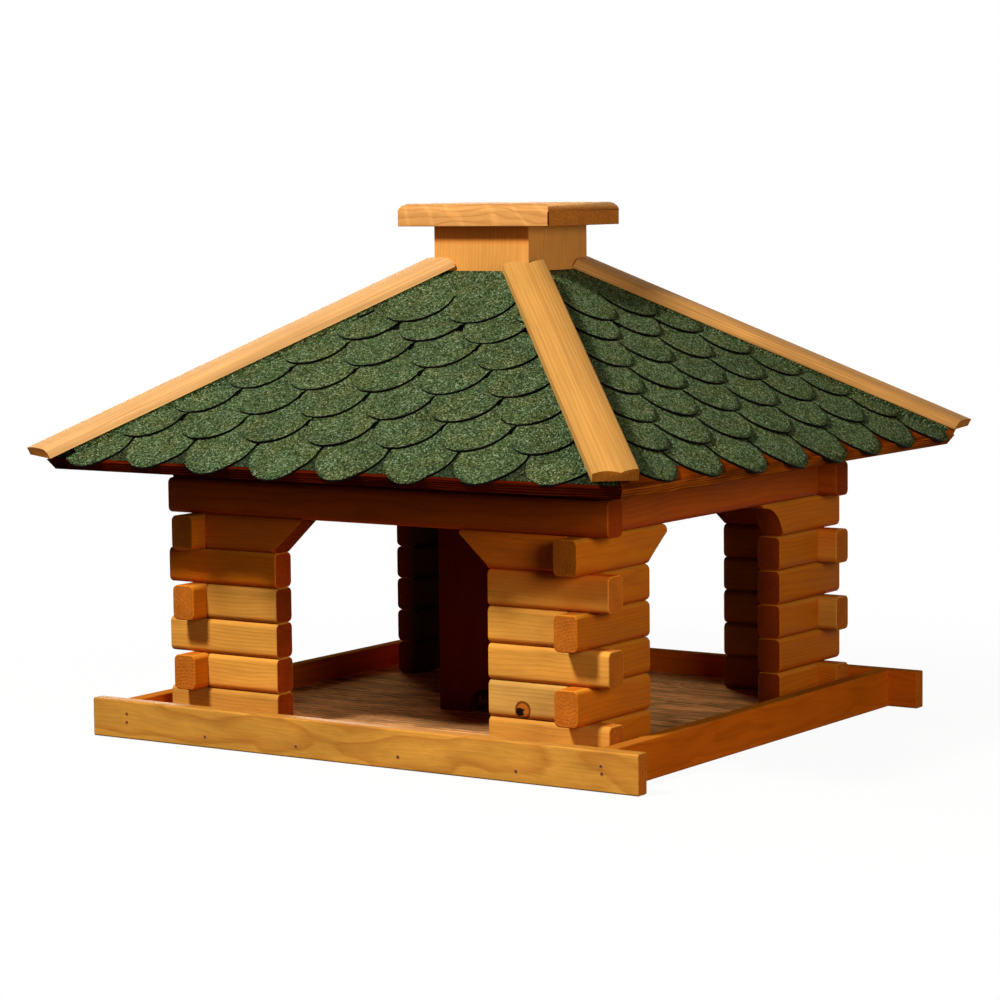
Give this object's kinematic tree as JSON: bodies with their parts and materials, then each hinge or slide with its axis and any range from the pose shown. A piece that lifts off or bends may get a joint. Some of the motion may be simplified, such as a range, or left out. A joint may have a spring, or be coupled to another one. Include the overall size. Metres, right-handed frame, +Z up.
{
  "type": "bird table",
  "caption": "Log-built bird table with a rimmed tray, four stacked corner posts, a hipped shingle roof and a central feed column filled under a lift-off cap.",
  "frame": {"origin": "middle of the underside of the tray", "axes": "+X to the right along the front, -Y out of the front, +Z up"},
  "size_m": [0.7499, 0.7551, 0.5612],
  "materials": {
    "log_pine": "pine logs in golden-brown satin stain",
    "cap_pine": "planed pine board in light golden satin stain",
    "column_pine": "planed pine boards in golden-brown satin stain",
    "floor_ply": "panel with wavy brown-grey grain, thin satin stain",
    "lath_pine": "moulded pine lath in light golden satin stain",
    "rim_pine": "planed pine strips in golden-brown satin stain",
    "roof_board": "rough-sawn board, red-brown stain",
    "plate_pine": "pine in golden-brown stain, in the shade of the roof",
    "shingle_felt": "bitumen felt with dark green mineral granules, matte"
  },
  "bodies": {
    "house": {"beam_back": "log_pine", "beam_front": "log_pine", "beam_left": "log_pine", "beam_right": "log_pine", "column_board_back": "column_pine", "column_board_front": "column_pine", "column_board_left": "column_pine", "column_board_right": "column_pine", "floor_panel": "floor_ply", "hip_lath_back_left": "lath_pine", "hip_lath_back_right": "lath_pine", "hip_lath_front_left": "lath_pine", "hip_lath_front_right": "lath_pine", "post_back_left_1": "log_pine", "post_back_left_2": "log_pine", "post_back_left_3": "log_pine", "post_back_left_4": "log_pine", "post_back_left_5": "log_pine", "post_back_left_6": "log_pine", "post_back_right_1": "log_pine", "post_back_right_2": "log_pine", "post_back_right_3": "log_pine", "post_back_right_4": "log_pine", "post_back_right_5": "log_pine", "post_back_right_6": "log_pine", "post_front_left_1": "log_pine", "post_front_left_2": "log_pine", "post_front_left_3": "log_pine", "post_front_left_4": "log_pine", "post_front_left_5": "log_pine", "post_front_left_6": "log_pine", "post_front_right_1": "log_pine", "post_front_right_2": "log_pine", "post_front_right_3": "log_pine", "post_front_right_4": "log_pine", "post_front_right_5": "log_pine", "post_front_right_6": "log_pine", "rim_back": "rim_pine", "rim_front": "rim_pine", "rim_left": "rim_pine", "rim_right": "rim_pine", "roof_board_back": "roof_board", "roof_board_front": "roof_board", "roof_board_left": "roof_board", "roof_board_right": "roof_board", "roof_plate_back": "plate_pine", "roof_plate_front": "plate_pine", "roof_plate_left": "plate_pine", "roof_plate_right": "plate_pine", "shingles_back": "shingle_felt", "shingles_front": "shingle_felt", "shingles_left": "shingle_felt", "shingles_right": "shingle_felt"},
    "cap": {"cap_board": "cap_pine", "cap_block": "cap_pine"}
  },
  "joints": [
    {"name": "cap_lift", "type": "slide", "parent": "house", "child": "cap", "axis": [0, 0, 1], "range_m": [0, 0.15]}
  ]
}
